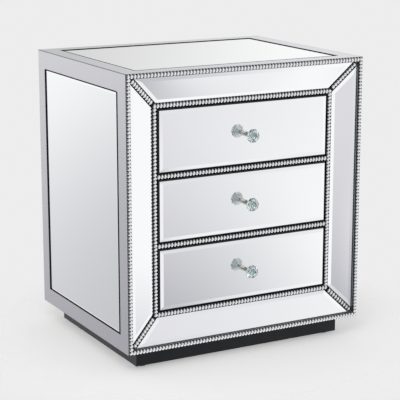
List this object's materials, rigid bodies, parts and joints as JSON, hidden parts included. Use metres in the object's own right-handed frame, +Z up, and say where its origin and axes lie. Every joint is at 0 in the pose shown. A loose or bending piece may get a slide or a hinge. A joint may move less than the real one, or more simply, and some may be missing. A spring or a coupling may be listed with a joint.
{
  "type": "mirrored chest of drawers",
  "caption": "Mirrored bedside chest of drawers with a sloping mirrored front frame, beaded trim, crystal knobs and a dark plinth.",
  "frame": {"origin": "on the floor, midway from side to side and midway between the knobs' tips and the back", "axes": "+Z up, +Y from the drawers' fronts towards the back, +X to the viewer's right"},
  "size_m": [0.58, 0.486, 0.644],
  "materials": {
    "silver_paint": "fibreboard with a smooth satin silver paint",
    "black_paint": "fibreboard with a satin black paint",
    "back_board": "thin fibreboard painted dark grey",
    "drawer_box": "fibreboard wrapped in matt grey foil",
    "case_board": "bare pressed fibreboard",
    "mirror_glass": "silvered float glass with bevelled, polished edges",
    "beading": "moulded plastic with bright silver plating",
    "runner_steel": "zinc plated cold rolled steel",
    "crystal": "cut clear crystal",
    "ferrule": "polished and plated",
    "screw_steel": "zinc plated",
    "foot_plastic": "moulded, slightly textured"
  },
  "bodies": {
    "case": {"frame_top": "silver_paint", "frame_mirror_top": "mirror_glass", "frame_bottom": "silver_paint", "frame_mirror_bottom": "mirror_glass", "frame_left": "silver_paint", "frame_mirror_left": "mirror_glass", "frame_right": "silver_paint", "frame_mirror_right": "mirror_glass", "left_side": "silver_paint", "right_side": "silver_paint", "top_panel": "silver_paint", "left_side_mirror": "mirror_glass", "right_side_mirror": "mirror_glass", "top_mirror": "mirror_glass", "bottom_panel": "case_board", "back_panel": "back_board", "inner_panels": "case_board", "lower_rail": "black_paint", "upper_rail": "black_paint", "outer_beading": "beading", "inner_beading": "beading", "mitre_beading": "beading", "rail_beading": "beading", "plinth_front": "black_paint", "plinth_back": "black_paint", "plinth_ends": "black_paint", "plinth_corner_blocks": "case_board", "feet": "foot_plastic", "case_runners": "runner_steel"},
    "bottom_drawer": {"bottom_drawer_front": "black_paint", "bottom_drawer_mirror": "mirror_glass", "bottom_drawer_sides": "drawer_box", "bottom_drawer_back": "drawer_box", "bottom_drawer_bottom": "drawer_box", "bottom_drawer_runners": "runner_steel", "bottom_knob_crystal": "crystal", "bottom_knob_ferrule": "ferrule", "bottom_knob_screw": "screw_steel"},
    "bottom_middle_members": {"bottom_middle_runners": "runner_steel"},
    "middle_drawer": {"middle_drawer_front": "black_paint", "middle_drawer_mirror": "mirror_glass", "middle_drawer_sides": "drawer_box", "middle_drawer_back": "drawer_box", "middle_drawer_bottom": "drawer_box", "middle_drawer_runners": "runner_steel", "middle_knob_crystal": "crystal", "middle_knob_ferrule": "ferrule", "middle_knob_screw": "screw_steel"},
    "middle_middle_members": {"middle_middle_runners": "runner_steel"},
    "top_drawer": {"top_drawer_front": "black_paint", "top_drawer_mirror": "mirror_glass", "top_drawer_sides": "drawer_box", "top_drawer_back": "drawer_box", "top_drawer_bottom": "drawer_box", "top_drawer_runners": "runner_steel", "top_knob_crystal": "crystal", "top_knob_ferrule": "ferrule", "top_knob_screw": "screw_steel"},
    "top_middle_members": {"top_middle_runners": "runner_steel"}
  },
  "joints": [
    {"name": "bottom_drawer_slide", "type": "slide", "parent": "case", "child": "bottom_drawer", "axis": [0, -1, 0], "range_m": [0, 0.34]},
    {"name": "bottom_runner_slide", "type": "slide", "parent": "case", "child": "bottom_middle_members", "axis": [0, -1, 0], "range_m": [0, 0.17]},
    {"name": "middle_drawer_slide", "type": "slide", "parent": "case", "child": "middle_drawer", "axis": [0, -1, 0], "range_m": [0, 0.34]},
    {"name": "middle_runner_slide", "type": "slide", "parent": "case", "child": "middle_middle_members", "axis": [0, -1, 0], "range_m": [0, 0.17]},
    {"name": "top_drawer_slide", "type": "slide", "parent": "case", "child": "top_drawer", "axis": [0, -1, 0], "range_m": [0, 0.34]},
    {"name": "top_runner_slide", "type": "slide", "parent": "case", "child": "top_middle_members", "axis": [0, -1, 0], "range_m": [0, 0.17]}
  ],
  "couplings": [
    {"joint": "bottom_runner_slide", "follows": "bottom_drawer_slide", "ratio": 0.5},
    {"joint": "middle_runner_slide", "follows": "middle_drawer_slide", "ratio": 0.5},
    {"joint": "top_runner_slide", "follows": "top_drawer_slide", "ratio": 0.5}
  ]
}
